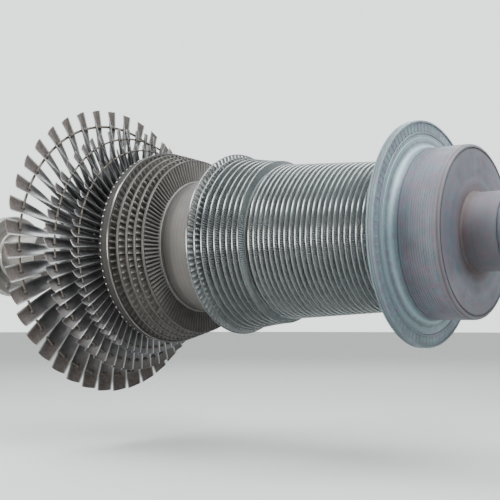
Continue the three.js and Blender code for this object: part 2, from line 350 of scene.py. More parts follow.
def lipped_band(x, radius, width, thickness, segments, lip=0.01, drop=0.0025, taper=0.0055, strip=0.024):
    """Wide shroud band: a low strip and a tapered face rising towards +X, both darkened with painted shade,
    and a glossy lip at its edge.
    """
    inner = radius - thickness
    low = radius - drop - taper
    left, right = x - width / 2, x + width / 2
    return ring_of((
        (left - strip, low - 0.009, -1), (left - strip, low - 0.0045, -1),
        (left - strip + 0.0015, low - 0.003, -1), (left - 0.0005, low - 0.003, -1), (left, low, -0.6),
        (right - lip - drop, radius - drop, -0.6), (right - lip, radius, 0.8),
        (right - 0.0015, radius, 1), (right, radius - 0.0015, 1), (right, inner, 0), (left, low - 0.009, 0),
    ), segments)


def platform(start, end, inner, outer, segments, groove=0.0015):
    """Root platform: a ring with a shallow groove cut round it at each end."""
    profile = (
        (start, inner), (start, outer - groove), (start + groove, outer),
        (end - groove, outer), (end, outer - groove), (end, inner),
    )
    return turned(profile, segments, closed=True)


def fillet(x0, r0, x1, r1, hollow, steps=8):
    """Quarter arc from (x0, r0) to (x1, r1) in the profile, hollow or full, without its ends."""
    t = np.linspace(0, np.pi / 2, steps + 2)[1:-1]
    if hollow:
        return [(x0 + (x1 - x0) * (1 - np.cos(a)), r1 + (r0 - r1) * (1 - np.sin(a))) for a in t]
    return [(x0 + (x1 - x0) * np.sin(a), r1 + (r0 - r1) * np.cos(a)) for a in t]


def painted_highlight(points, shine, film=0.0):
    """Adds no stain, and a painted highlight: the wear value rises from -film at the ends, a painted shade,
    to shine in the middle of the points.
    """
    swell = np.sin(np.linspace(0, np.pi, len(points))) ** 4
    return [(x, r, 0.0, (shine + film) * share - film) for (x, r), share in zip(points, swell)]


def grooves(start, end, radius, pitch, depth):
    """Profile of a cylinder with square sealing grooves: fins of 0.4 of the pitch between flat grooves."""
    count = int((end - start) / pitch)
    step = (end - start) / count
    x = start + step * np.arange(count)[:, None] + step * np.array([0.0, 0.4, 0.45, 0.95])
    r = radius - depth * np.broadcast_to([0.0, 0.0, 1.0, 1.0], (count, 4))
    profile = np.stack([x, r], axis=-1).reshape(-1, 2).tolist()
    return [*profile, [end, radius]]


# Finishes.


class Nodes:
    """Short ways to place and join the shader nodes of one material."""

    def __init__(self, name):
        self.material = bpy.data.materials.get(name) or bpy.data.materials.new(name)
        self.material.use_nodes = True
        self.tree = self.material.node_tree
        self.tree.nodes.clear()
        self.output = self.node("ShaderNodeOutputMaterial")
        self.shader = self.node("ShaderNodeBsdfPrincipled")
        self.join(self.shader.outputs[0], self.output.inputs["Surface"])
        self.place = self.node("ShaderNodeTexCoord").outputs["Object"]

    def node(self, kind, **values):
        made = self.tree.nodes.new(kind)
        for key, value in values.items():
            setattr(made, key, value)
        return made

    def join(self, source, target):
        self.tree.links.new(source, target)

    def math(self, operation, a, b=None, clamp=False):
        made = self.node("ShaderNodeMath", operation=operation, use_clamp=clamp)
        for socket, value in zip(made.inputs, (a, b)):
            if value is None:
                continue
            if isinstance(value, (int, float)):
                socket.default_value = value
            else:
                self.join(value, socket)
        return made.outputs[0]

    def noise(self, vector, scale, detail=4.0, rough=0.55):
        made = self.node("ShaderNodeTexNoise")
        made.inputs["Scale"].default_value = scale
        made.inputs["Detail"].default_value = detail
        made.inputs["Roughness"].default_value = rough
        self.join(vector, made.inputs["Vector"])
        return made.outputs["Fac"]

    def spread(self, value, low, high, out_low=0.0, out_high=1.0):
        made = self.node("ShaderNodeMapRange")
        self.join(value, made.inputs["Value"])
        limits = {"From Min": low, "From Max": high, "To Min": out_low, "To Max": out_high}
        for label, number in limits.items():
            made.inputs[label].default_value = number
        return made.outputs["Result"]

    def mix(self, factor, a, b):
        made = self.node("ShaderNodeMix", data_type="RGBA")
        self.join(factor, made.inputs["Factor"])
        for socket, value in ((made.inputs["A"], a), (made.inputs["B"], b)):
            if isinstance(value, bpy.types.NodeSocket):
                self.join(value, socket)
            else:
                socket.default_value = (*value[:3], 1.0)
        return made.outputs["Result"]

    def attribute(self, name):
        return self.node("ShaderNodeAttribute", attribute_name=name).outputs["Fac"]

    def rings(self, along, out):
        """Coordinates that vary only along the axis and with the radius, so that noise draws turned rings."""
        parts = self.node("ShaderNodeSeparateXYZ")
        self.join(self.place, parts.inputs[0])
        flat = self.node("ShaderNodeCombineXYZ")
        self.join(parts.outputs["Y"], flat.inputs["Y"])
        self.join(parts.outputs["Z"], flat.inputs["Z"])
        length = self.node("ShaderNodeVectorMath", operation="LENGTH")
        self.join(flat.outputs[0], length.inputs[0])
        made = self.node("ShaderNodeCombineXYZ")
        self.join(self.math("MULTIPLY", parts.outputs["X"], along), made.inputs["X"])
        self.join(self.math("MULTIPLY", length.outputs["Value"], out), made.inputs["Y"])
        return made.outputs[0]

    def bump(self, height, strength, distance=0.001):
        made = self.node("ShaderNodeBump")
        made.inputs["Strength"].default_value = strength
        made.inputs["Distance"].default_value = distance
        self.join(height, made.inputs["Height"])
        self.join(made.outputs[0], self.shader.inputs["Normal"])


def shade(colour, factor):
    return tuple(min(1.0, channel * factor) for channel in colour)


def steel(
    name, colour, stain, rough=(0.3, 0.5), rings=900.0, stain_amount=0.5, metallic=0.85, bump=0.25, tint=None,
    gloss=0.5,
):
    """Turned steel: fine rings round the axis, cloudy oxide with a second tint, stains and dark specks."""
    n = Nodes(name)
    turned_marks = n.noise(n.rings(rings, rings), 1.0, 3.0, 0.6)
    coarse_marks = n.noise(n.rings(70.0, 70.0), 1.0, 2.0)
    clouds = n.noise(n.place, 3.2, 6.0, 0.6)
    patches = n.noise(n.place, 9.0, 8.0, 0.65)
    specks = n.noise(n.place, 160.0, 3.0)
    base = n.mix(n.spread(coarse_marks, 0.35, 0.65), shade(colour, 0.78), shade(colour, 1.2))
    if tint:
        mottle = n.noise(n.place, 24.0, 8.0, 0.75)
        base = n.mix(n.spread(mottle, 0.44, 0.58), base, tint)
    base = n.mix(n.math("MULTIPLY", n.spread(clouds, 0.35, 0.7), 0.7), base, shade(colour, 0.6))
    stained = n.math("MULTIPLY", n.spread(patches, 0.48, 0.72), stain_amount)
    marked = n.math("MULTIPLY", n.attribute("reach"), n.spread(patches, 0.3, 0.55, 0.55, 1.0))
    stained = n.math("MAXIMUM", stained, marked)
    base = n.mix(stained, base, stain)
    base = n.mix(n.spread(specks, 0.66, 0.78, 0.0, 0.5), base, shade(colour, 0.4))
    # wear above 0 lightens the colour, a painted highlight, and below 0 darkens it, a painted shade.
    wear = n.attribute("wear")
    base = n.mix(n.math("MULTIPLY", wear, n.spread(patches, 0.3, 0.6, 0.5, 1.0)), base, shade(colour, 2.0))
    base = n.mix(n.spread(wear, 0.0, -1.0), base, shade(colour, 0.3))
    n.join(base, n.shader.inputs["Base Color"])
    finish = n.math("ADD", n.spread(clouds, 0.3, 0.7, *rough), n.spread(turned_marks, 0.3, 0.7, -0.05, 0.05))
    finish = n.math("ADD", finish, n.math("MULTIPLY", stained, 0.25), clamp=True)
    n.join(finish, n.shader.inputs["Roughness"])
    n.shader.inputs["Metallic"].default_value = metallic
    n.shader.inputs["Specular IOR Level"].default_value = gloss
    relief = n.math("ADD", turned_marks, n.math("MULTIPLY", patches, 0.6))
    n.bump(relief, bump, 0.0006)
    return n.material


def blade_steel(name, colour, edge, erosion, wire):
    """Dark blade steel with bright edges, worn and partly a painted highlight, and brown eroded tips; a reach
    above 1 marks the wire.
    """
    n = Nodes(name)
    wear = n.attribute("wear")
    reach = n.attribute("reach")
    film = n.noise(n.place, 22.0, 6.0, 0.6)
    fine = n.noise(n.place, 180.0, 4.0)
    pits = n.noise(n.place, 70.0, 8.0, 0.7)
    base = n.mix(n.spread(film, 0.35, 0.65), shade(colour, 0.8), shade(colour, 1.2))
    tip = n.math("MULTIPLY", n.spread(reach, 0.6, 0.86), n.spread(film, 0.3, 0.5, 0.45, 1.0))
    mottled = n.mix(n.spread(pits, 0.4, 0.62), shade(erosion, 1.35), shade(erosion, 0.7))
    base = n.mix(tip, base, mottled)
    # Bright edges: worn metal, partly a painted highlight.
    bright = n.math("MULTIPLY", n.spread(wear, 0.35, 0.95), n.spread(fine, 0.25, 0.6, 0.35, 1.0))
    base = n.mix(bright, base, edge)
    on_wire = n.spread(reach, 1.3, 1.7)
    base = n.mix(on_wire, base, n.mix(n.spread(film, 0.35, 0.65), shade(wire, 0.8), shade(wire, 1.2)))
    n.join(base, n.shader.inputs["Base Color"])
    worn = n.math("MAXIMUM", tip, on_wire)
    rough = n.math("ADD", n.spread(film, 0.3, 0.7, 0.29, 0.4), n.math("MULTIPLY", worn, 0.25), clamp=True)
    n.join(rough, n.shader.inputs["Roughness"])
    n.join(n.spread(worn, 0.0, 1.0, 0.6, 0.2), n.shader.inputs["Metallic"])
    n.bump(n.math("ADD", fine, n.math("ADD", film, pits)), 0.1, 0.0006)
    return n.material


def floor_paint(name, colour):
    """Pale floor with a faint cloudiness."""
    n = Nodes(name)
    clouds = n.noise(n.place, 0.8, 5.0)
    base = n.mix(n.spread(clouds, 0.3, 0.7), shade(colour, 0.97), shade(colour, 1.02))
    n.join(base, n.shader.inputs["Base Color"])
    n.join(n.spread(clouds, 0.3, 0.7, 0.75, 0.85), n.shader.inputs["Roughness"])
    return n.material


# Pieces.


def sizes():
    return bpy.context.scene.rotor_sizes


def colours():
    return bpy.context.scene.rotor_colours


def drum_finish():
    c = colours()
    return steel("forged steel", c.forging, c.rust, (0.62, 0.74), 600.0, 0.3, 0.2, gloss=0.2)


def machined_finish():
    c = colours()
    return steel("machined steel", c.machined, shade(c.rust, 1.4), (0.3, 0.4), 1400.0, 0.25, 0.95, 0.15)


def wheel_finish():
    c = colours()
    return steel("wheel steel", c.wheel, c.rust, (0.45, 0.6), 900.0, 0.25, 0.35, 0.3, (0.17, 0.15, 0.215))


def rusty_finish():
    c = colours()
    return steel("rusty steel", c.piston, c.rust, (0.45, 0.62), 700.0, 0.4, 0.3, 0.3, (0.16, 0.115, 0.155))


def dark_blades():
    c = colours()
    return blade_steel("blade steel", c.blade, c.blade_edge, c.erosion, c.wire)


def turned_piece(name, outline, finish, slot, nodes):
    """Turned piece with an outline of (x, r), (x, r, stain) or (x, r, stain, polish) points.

    The stain goes to the reach attribute and the shine to the wear attribute: the finish draws a shine above
    0 lighter, a painted highlight, and one below 0 darker, a painted shade.
    """
    segments = sizes().segments
    full = np.array([(*point, 0.0, 0.0)[:4] for point in (outline[0], *outline, outline[-1])], float)
    points, faces = solid_shaft([point[:2] for point in outline], segments)
    shape = Shape()
    shape.add(points, faces, np.repeat(full[:, 3], segments), np.repeat(full[:, 2], segments))
    shape.finish(name, finish, slot, nodes)


def flange_face(x, inner, outer, hole, circle, count, steps, outward):
    """Flat ring with a circle of holes, one sector a hole.

    In a sector, point (v, t) lies at (1 - v) of the way from the sector's outline to the hole's circle.
    The outline is two arcs of the ring and two radial sides; both are walked by the same t.
    """
    half = np.pi / count
    side = np.linspace(-1, 1, steps, endpoint=False)
    radial = np.linspace(inner, outer, steps, endpoint=False)
    angle = np.concatenate([side * half, np.full(steps, half), -side * half, np.full(steps, -half)])
    back = radial[::-1] + radial[1] - radial[0]
    radius = np.concatenate([np.full(steps, inner), radial, np.full(steps, outer), back])
    edge = np.stack([radius * np.sin(angle), radius * np.cos(angle)], axis=-1)
    centre = np.array([0.0, circle])
    towards = edge - centre
    rim = centre + hole * towards / np.linalg.norm(towards, axis=1, keepdims=True)
    mix = np.array([0.0, 0.5, 1.0])[:, None, None]
    flat = (1 - mix) * edge + mix * rim
    points = np.concatenate([np.full((*flat.shape[:2], 1), x), flat], axis=-1)
    faces = grid_faces(3, 4 * steps)
    if outward > 0:
        faces = faces[:, ::-1]
    return points.reshape(-1, 3), faces, rim


class ROTOR_OT_shaft_ends(bpy.types.Operator):
    """Builds the coupling flange, journals, glands, thrust collar and shaft end."""

    bl_idname = "rotor.shaft_ends"
    bl_label = "Shaft ends"

    def execute(self, context):
        machined, drum, rusty = machined_finish(), drum_finish(), rusty_finish()
        self.coupling(machined)
        turned_piece("exhaust_journal_surface", [
            (0.0753, 0.172), *fillet(0.0753, 0.172, 0.098, 0.15, True), (0.098, 0.15), (0.405, 0.15),
            *fillet(0.405, 0.15, 0.413, 0.158, False), (0.413, 0.158), (0.413, 0.18), (0.415, 0.182),
            (0.437, 0.182), (0.439, 0.18), (0.439, 0.165), (0.475, 0.165),
        ], machined, "machined_steel", ["exhaust_journal"])
        turned_piece("exhaust_gland_surface", [
            (0.4753, 0.203), *grooves(0.4773, 0.585, 0.205, 0.009, 0.004), (0.585, 0.193), (0.615, 0.193),
            *grooves(0.615, 0.725, 0.205, 0.009, 0.004), (0.725, 0.193), (0.755, 0.193),
            *grooves(0.755, 0.843, 0.205, 0.009, 0.004), (0.845, 0.203),
        ], drum, "forged_steel", ["exhaust_gland"])
        turned_piece("exhaust_shoulder_surface", [
            (0.8453, 0.232), (0.8468, 0.234), *fillet(0.8468, 0.234, 0.897, 0.33, False),
            (0.897, 0.33), (0.9047, 0.33),
        ], drum, "forged_steel", ["exhaust_shoulder"])
        w = WHEEL
        # Painted shade darkens the root fillet of the gland, on top of its rust.
        root = [(x, r, 1, -0.3) for x, r in fillet(w + 0.2903, 0.201, w + 0.306, 0.187, True)]
        turned_piece("high_pressure_gland_surface", [
            (w + 0.2903, 0.201, 1), *root, (w + 0.306, 0.187, 0.9),
            (w + 0.33, 0.187, 0.5), (w + 0.4, 0.187, 0.45), (w + 0.459, 0.187, 0.3),
            (w + 0.46, 0.186), (w + 0.46, 0.175), (w + 0.49, 0.175), (w + 0.49, 0.186),
            *grooves(w + 0.49, w + 0.698, 0.187, 0.009, 0.004), (w + 0.7, 0.185),
        ], rusty, "rusty_steel", ["high_pressure_gland"])
        turned_piece("high_pressure_journal_surface", [
            (w + 0.7003, 0.158), (w + 0.7023, 0.16), (w + 0.724, 0.16),
            *fillet(w + 0.724, 0.16, w + 0.74, 0.13, True), (w + 0.74, 0.13), (w + 1.002, 0.13),
            *fillet(w + 1.002, 0.13, w + 1.01, 0.138, False), (w + 1.01, 0.138),
        ], machined, "machined_steel", ["high_pressure_journal"])
        turned_piece("thrust_collar_surface", [
            (w + 1.0103, 0.211), *fillet(w + 1.0103, 0.211, w + 1.0143, 0.215, False), (w + 1.0143, 0.215),
            (w + 1.062, 0.215), (w + 1.066, 0.211),
        ], machined, "machined_steel", ["thrust_collar"])
        turned_piece("high_pressure_shaft_end_surface", [
            (w + 1.0663, 0.104), *fillet(w + 1.0663, 0.104, w + 1.0743, 0.096, True), (w + 1.0743, 0.096),
            (w + 1.13, 0.096), (w + 1.132, 0.092), (w + 1.14, 0.092), (w + 1.142, 0.096),
            (w + 1.192, 0.096), (w + 1.2, 0.088), (w + 1.2, 0.03), (w + 1.188, 0.018),
        ], machined, "machined_steel", ["high_pressure_shaft_end"])
        return {"FINISHED"}

    def coupling(self, finish):
        """Flange with through holes: two pierced faces, hole walls, a bevelled rim and a plain middle."""
        count = 8
        steps = sizes().segments // count
        near, far = 0.0, 0.075
        inner, outer, hole, circle = 0.13, 0.259, 0.021, 0.212
        shape = Shape()
        for x, outward in ((near, -1), (far, 1)):
            points, faces, rim = flange_face(x, inner, outer, hole, circle, count, steps, outward)
            shape.add(*around(points, [faces], count, 0.5))
        ends = np.repeat([[near], [far]], len(rim), axis=1)
        wall = np.stack([ends, *(np.tile(rim[:, k], (2, 1)) for k in (0, 1))], axis=-1)
        shape.add(*around(wall.reshape(-1, 3), [grid_faces(2, len(rim))], count, 0.5))
        rings = count * steps
        shape.add(*turned((
            (near, outer), (0.006, 0.265), (0.034, 0.265), (0.036, 0.262), (0.04, 0.262), (0.042, 0.265),
            (0.071, 0.265), (far, outer),
        ), rings))
        for x, flip in ((near, False), (far, True)):
            points, faces = turned(((x, 0.0), (x, inner)), rings)
            shape.add(points, faces[:, ::-1] if flip else faces)
        shape.finish("coupling_flange_surface", finish, "machined_steel", ["coupling_flange"])


class ROTOR_OT_drum(bpy.types.Operator):
    """Builds the turned surfaces of the drum between and under the blade rows."""

    bl_idname = "rotor.drum"
    bl_label = "Drum"

    def execute(self, context):
        finish = drum_finish()
        w = WHEEL
        turned_piece("low_pressure_hub_surface", [
            (0.905, 0.351), *fillet(0.905, 0.351, 0.919, LOW_DRUM, False), (0.919, LOW_DRUM),
            (w - 2.008, LOW_DRUM), (w - 2.004, 0.372), (w - 1.938, 0.372), (w - 1.934, LOW_DRUM),
            (w - 1.658, LOW_DRUM),
        ], finish, "forged_steel", ["low_pressure_hub"])
        turned_piece("low_pressure_drum_surface", [
            (w - 1.6577, LOW_DRUM), (w - 1.36, LOW_DRUM),
        ], finish, "forged_steel", ["low_pressure_drum"])
        # Painted shade darkens the end of the bare drum by the first high-pressure row, which shows through
        # that row's blade passages.
        turned_piece("bare_drum_surface", [
            (w - 1.3597, 0.361), (w - 1.352, 0.361), (w - 1.35, LOW_DRUM), (w - 1.303, LOW_DRUM),
            *fillet(w - 1.303, LOW_DRUM, w - 1.292, 0.376, False), (w - 1.292, 0.376), (w - 1.18, 0.376),
            (w - 1.15, 0.376, 0, -0.5), (w - 1.107, 0.376, 0, -0.6), (w - 1.105, 0.374, 0, -0.6),
        ], finish, "forged_steel", ["bare_drum"])
        # Painted shade darkens the drum under the first high-pressure group, seen between its blades.
        turned_piece("high_pressure_drum_a_surface", [
            (w - 1.1047, HIGH_DRUM_A, 0, -0.4), (w - 0.776, HIGH_DRUM_A, 0, -0.4),
        ], finish, "forged_steel", ["high_pressure_drum_a"])
        turned_piece("high_pressure_drum_b_surface", [
            (w - 0.7757, HIGH_DRUM_B), (w - CLEARANCE, HIGH_DRUM_B),
        ], finish, "forged_steel", ["high_pressure_drum_b"])
        return {"FINISHED"}


class ROTOR_OT_wheel(bpy.types.Operator):
    """Builds the control wheel and its blade row."""

    bl_idname = "rotor.wheel"
    bl_label = "Control wheel"

    def execute(self, context):
        segments, w = sizes().segments, WHEEL
        film = wheel_finish()
        # Painted highlight: the face next to the rim is drawn lighter and the fillet lighter along its
        # middle; painted shade darkens the fillet's ends and its foot by the piston.
        turned_piece("control_wheel_surface", [
            (w, 0.482), (w + 0.004, 0.486), (w + 0.038, 0.486), (w + 0.0412, 0.4835, 0, 0.15),
            (w + 0.0412, 0.47, 0, 0.3), (w + 0.043, 0.468, 0, 0.3), (w + 0.045, 0.452, 0, 0.1),
            *painted_highlight(fillet(w + 0.045, 0.452, w + 0.088, 0.414, True, 20), 0.5, 0.35),
            (w + 0.088, 0.414, 0, -0.35),
        ], film, "wheel_steel", ["control_wheel"])
        shape = Shape()
        shape.add(*turned((
            (w + 0.004, 0.4863), (w + 0.004, 0.4935), (w + 0.006, 0.495),
            (w + 0.040, 0.495), (w + 0.042, 0.4935), (w + 0.042, 0.4863),
        ), segments, closed=True))
        shape.add(*turned((
            (w + 0.008, 0.494), (w + 0.008, 0.542), (w + 0.0385, 0.542), (w + 0.0385, 0.494),
        ), segments, closed=True))
        vane = {"span": (0.491, 0.544), "chord": [0.036] * 2, "stagger": [30] * 2}
        points, faces, _, _ = blade(**vane, thickness=[0.012] * 2, camber=[0.004] * 2, section=8)
        points = points + np.array([w + 0.0235, 0.0, 0.0])
        shape.add(*around(points, faces, 92))
        shape.add(*ring_of((
            (w + 0.004, 0.5405, -0.5), (w + 0.004, 0.5485, -0.3), (w + 0.0055, 0.55, -0.3),
            (w + 0.0145, 0.55, -0.5), (w + 0.0155, 0.5485, -1), (w + 0.0175, 0.5485, -1),
            (w + 0.0185, 0.55, -0.5), (w + 0.027, 0.55, -0.5), (w + 0.028, 0.549, -1), (w + 0.029, 0.549, -1),
            (w + 0.03, 0.55, -0.5), (w + 0.0405, 0.55, -0.3), (w + 0.042, 0.5485, 0), (w + 0.042, 0.5405, 0),
        ), segments))
        shape.finish("control_blade_row_surface", film, "wheel_steel", ["control_blade_row"])
        return {"FINISHED"}


class ROTOR_OT_piston(bpy.types.Operator):
    """Builds the balance piston with its sealing grooves and brown end face."""

    bl_idname = "rotor.piston"
    bl_label = "Balance piston"

    def execute(self, context):
        s, w = sizes(), WHEEL
        # Painted shade darkens the cylinder just before the ridge and the groove in the end face; the chamfer
        # of the ridge is drawn lighter.
        turned_piece("balance_piston_surface", [
            (w + 0.0883, 0.412), (w + 0.091, 0.414), (w + 0.1, 0.414),
            *grooves(w + 0.1, w + 0.266, 0.414, s.groove_pitch, s.groove_depth),
            (w + 0.2665, 0.4135, 0.3), (w + 0.276, 0.4135, 0.4), (w + 0.2785, 0.4135, 0.9, -0.4),
            (w + 0.2835, 0.4125, 0.9), (w + 0.2885, 0.408, 0.6, 0.3), (w + 0.29, 0.405, 0.5, 0.3),
            (w + 0.29, 0.3985, 0.7), (w + 0.29, 0.3975, 0.4, -0.3),
            (w + 0.287, 0.397, 0.5, -0.4), (w + 0.287, 0.391, 0.5, -0.4),
            (w + 0.29, 0.3905, 0.4, -0.2), (w + 0.29, 0.389, 0.3), (w + 0.29, 0.38, 0.2), (w + 0.29, 0.3),
            (w + 0.2885, 0.29), (w + 0.2885, 0.25, 0.1), (w + 0.2885, 0.215, 0.6),
        ], rusty_finish(), "rusty_steel", ["balance_piston"])
        return {"FINISHED"}


def shrouded_ring(
    shape, x, radius, hub, width, thickness, count, chord, stagger, blade_thickness, section,
    stations=2, reach_out=0.0, ring=band, taper=1.0, film=0.0,
):
    """Adds one row to a piece: twisted blades from the platform to the band, and the band.

    radius, width and thickness are the band's. taper is the tip's share of the chord, reach_out
    moves the blades along the axis, and film darkens them with painted shade.
    """
    span = np.linspace(hub - 0.003, radius - thickness + 0.001, stations)
    ones = np.ones(stations)
    twist = np.linspace(0, 8, stations) * (stations > 2)
    points, faces, edge, _ = blade(
        span, chord * np.linspace(1, taper, stations), stagger + twist, blade_thickness * ones,
        0.3 * chord * ones, section,
    )
    points = points + np.array([x + reach_out, 0.0, 0.0])
    copies, copied = around(points, faces, count)
    # film lowers the blades' wear below 0, painted shade that darkens them.
    shape.add(copies, copied, np.tile(edge * (1 - film) - film, count), 0.0)
    shape.add(*ring(x, radius, width, thickness, sizes().segments), 1.0)


def row_finish(name, band_colour, row_colour, edge, painted_edge_highlight):
    """Steel of a shrouded row.

    reach is 1 on the band and 0 on the blades; wear is high on bright edges, 2 on the rivets, and below 0
    where painted shade darkens the colour.
    """
    c = colours()
    n = Nodes(name)
    wear, on_band = n.attribute("wear"), n.attribute("reach")
    marks = n.noise(n.rings(1500.0, 1500.0), 1.0, 3.0, 0.6)
    clouds = n.noise(n.place, 6.0, 6.0, 0.6)
    patches = n.noise(n.place, 26.0, 6.0, 0.6)
    metal = n.mix(n.spread(clouds, 0.35, 0.65), shade(band_colour, 0.85), shade(band_colour, 1.2))
    metal = n.mix(n.math("MULTIPLY", n.spread(patches, 0.5, 0.75), 0.4), metal, shade(c.rust, 0.7))
    dark = n.mix(n.spread(clouds, 0.35, 0.65), shade(row_colour, 0.8), shade(row_colour, 1.15))
    dark = n.mix(n.math("MULTIPLY", n.spread(patches, 0.45, 0.7), 0.35), dark, shade(row_colour, 0.55))
    base = n.mix(on_band, dark, metal)
    # Painted shade: a wear value below 0 darkens the colour.
    base = n.mix(n.spread(wear, 0.0, -1.0), base, shade(band_colour, 0.35))
    worn = n.math("MULTIPLY", n.spread(wear, 0.1, 0.9), n.spread(patches, 0.3, 0.6, 1.0, 0.75))
    # Worn edges take the band's metal; on the blades painted_edge_highlight lightens them, a painted
    # highlight.
    base = n.mix(worn, base, n.mix(on_band, shade(row_colour, 1.0 + painted_edge_highlight), metal))
    shine = n.math("MULTIPLY", worn, n.spread(on_band, 0.0, 1.0, 0.1, 1.0))
    base = n.mix(shine, base, edge)
    n.join(n.mix(n.spread(wear, 1.3, 1.7), base, shade(c.blade_edge, 0.59)), n.shader.inputs["Base Color"])
    grain = n.spread(marks, 0.3, 0.7, -0.03, 0.03)
    rough = n.math("ADD", n.spread(shine, 0.0, 0.75, 0.66, 0.2), grain, clamp=True)
    n.join(rough, n.shader.inputs["Roughness"])
    n.join(n.spread(shine, 0.0, 1.0, 0.05, 0.9), n.shader.inputs["Metallic"])
    n.shader.inputs["Specular IOR Level"].default_value = 0.12
    n.bump(n.math("ADD", marks, patches), 0.2, 0.0005)
    return n.material


class ROTOR_OT_high_pressure_rows(bpy.types.Operator):
    """Builds both groups of shrouded high-pressure rows."""

    bl_idname = "rotor.high_pressure_rows"
    bl_label = "High-pressure rows"

    def execute(self, context):
        c = colours()
        finish = row_finish("high-pressure row steel", c.high_band, c.high_row, c.high_band, 0.0)
        for k in range(3):
            rows = GROUP_A[3 * k: 3 * k + 3]
            self.ring(f"high_pressure_rows_a{k + 1}", rows, HIGH_DRUM_A, 0.033, finish, 8)
        stations, radii, counts = (
            np.linspace(first, last, GROUP_B_COUNT) for first, last in zip(GROUP_B_FIRST, GROUP_B_LAST)
        )
        rows = list(zip(stations, radii, counts.astype(int)))
        pitch = stations[1] - stations[0]
        # The second group's colours are 1.3 times lighter than the first's: painted light.
        painted_lit_band, painted_lit_row = shade(c.high_band, 1.3), shade(c.high_row, 1.3)
        finish = row_finish("high-pressure row steel b painted lighter", painted_lit_band, painted_lit_row, painted_lit_band, 0.0)
        for k in range(6):
            self.ring(f"high_pressure_rows_b{k + 1}", rows[4 * k: 4 * k + 4], HIGH_DRUM_B, pitch, finish, 6)
        return {"FINISHED"}

    def ring(self, node, rows, drum, pitch, finish, section):
        """One piece of three or four rows on a common platform, where drum is the radius under it."""
        s = sizes()
        shape = Shape()
        hub = drum + 0.008
        start = WHEEL + rows[0][0] - pitch / 2 + CLEARANCE / 2
        end = WHEEL + rows[-1][0] + pitch / 2 - CLEARANCE / 2
        # Painted shade darkens the platform between the blades.
        shape.add(*platform(start, end, drum + CLEARANCE, hub, s.segments), -0.45)
        for station, radius, count in rows:
            chord, stagger, taper = (0.03, 46, 1.0) if count < OPEN_ROW else (0.0255, 52, 0.6)
            shrouded_ring(
                shape, WHEEL + station, radius, hub, s.high_band_width, s.band_thickness,
                count, chord, stagger, 0.0085, section, ring=crowned_band, taper=taper,
            )
        shape.finish(f"{node}_surface", finish, "band_steel", [node])


class ROTOR_OT_low_pressure_rows(bpy.types.Operator):
    """Builds the five shrouded low-pressure rows."""

    bl_idname = "rotor.low_pressure_rows"
    bl_label = "Low-pressure rows"

    def execute(self, context):
        c, segments = colours(), sizes().segments
        hub = LOW_DRUM + 0.006
        # The low-pressure blades' edges are drawn 1.7 times lighter, a painted highlight.
        finish = row_finish("low-pressure row steel", c.low_band, c.low_row, shade(c.forging, 1.2), 0.7)
        for number, row in enumerate(LOW_ROWS, 1):
            station, radius, width, thickness, count, chord, blade_thickness, film = row
            x = WHEEL + station
            first = number == 1
            shape = Shape()
            half = 0.022 if first else 0.02
            shape.add(*platform(x - half, x + half, LOW_DRUM + CLEARANCE, hub, segments))
            shrouded_ring(
                shape, x, radius, hub, width, thickness, count, chord, 32, blade_thickness, 10, 3,
                0.005 if first else 0.0, lipped_band if first else band, film=film,
            )
            if first:
                rivet_x, rivet_foot = x - width / 2 - 0.0165, radius - 0.0112
                self.tenons(shape, rivet_x, rivet_foot, count)
            node = f"low_pressure_row_{number}"
            shape.finish(f"{node}_surface", finish, "band_steel", [node])
        return {"FINISHED"}

    def tenons(self, shape, x, radius, count):
        """Rivet heads round the strip: domes (a cos p cos t, a cos p sin t, b sin p) on its surface."""
        turn = np.linspace(0, 2 * np.pi, 12, endpoint=False)[::-1]
        rise = np.radians([-90, -20, 10, 38, 64, 90])[:, None]
        size = 0.005
        px = size * np.cos(rise) * np.cos(turn)
        py = size * np.cos(rise) * np.sin(turn)
        pz = 0.7 * size * np.sin(rise) * np.ones_like(turn)
        points = np.stack([px + x, py, pz + radius], axis=-1).reshape(-1, 3)
        copies, faces = around(points, [grid_faces(6, 12)], count, 0.5)
        shape.add(copies, faces, 2.0, 1.0)


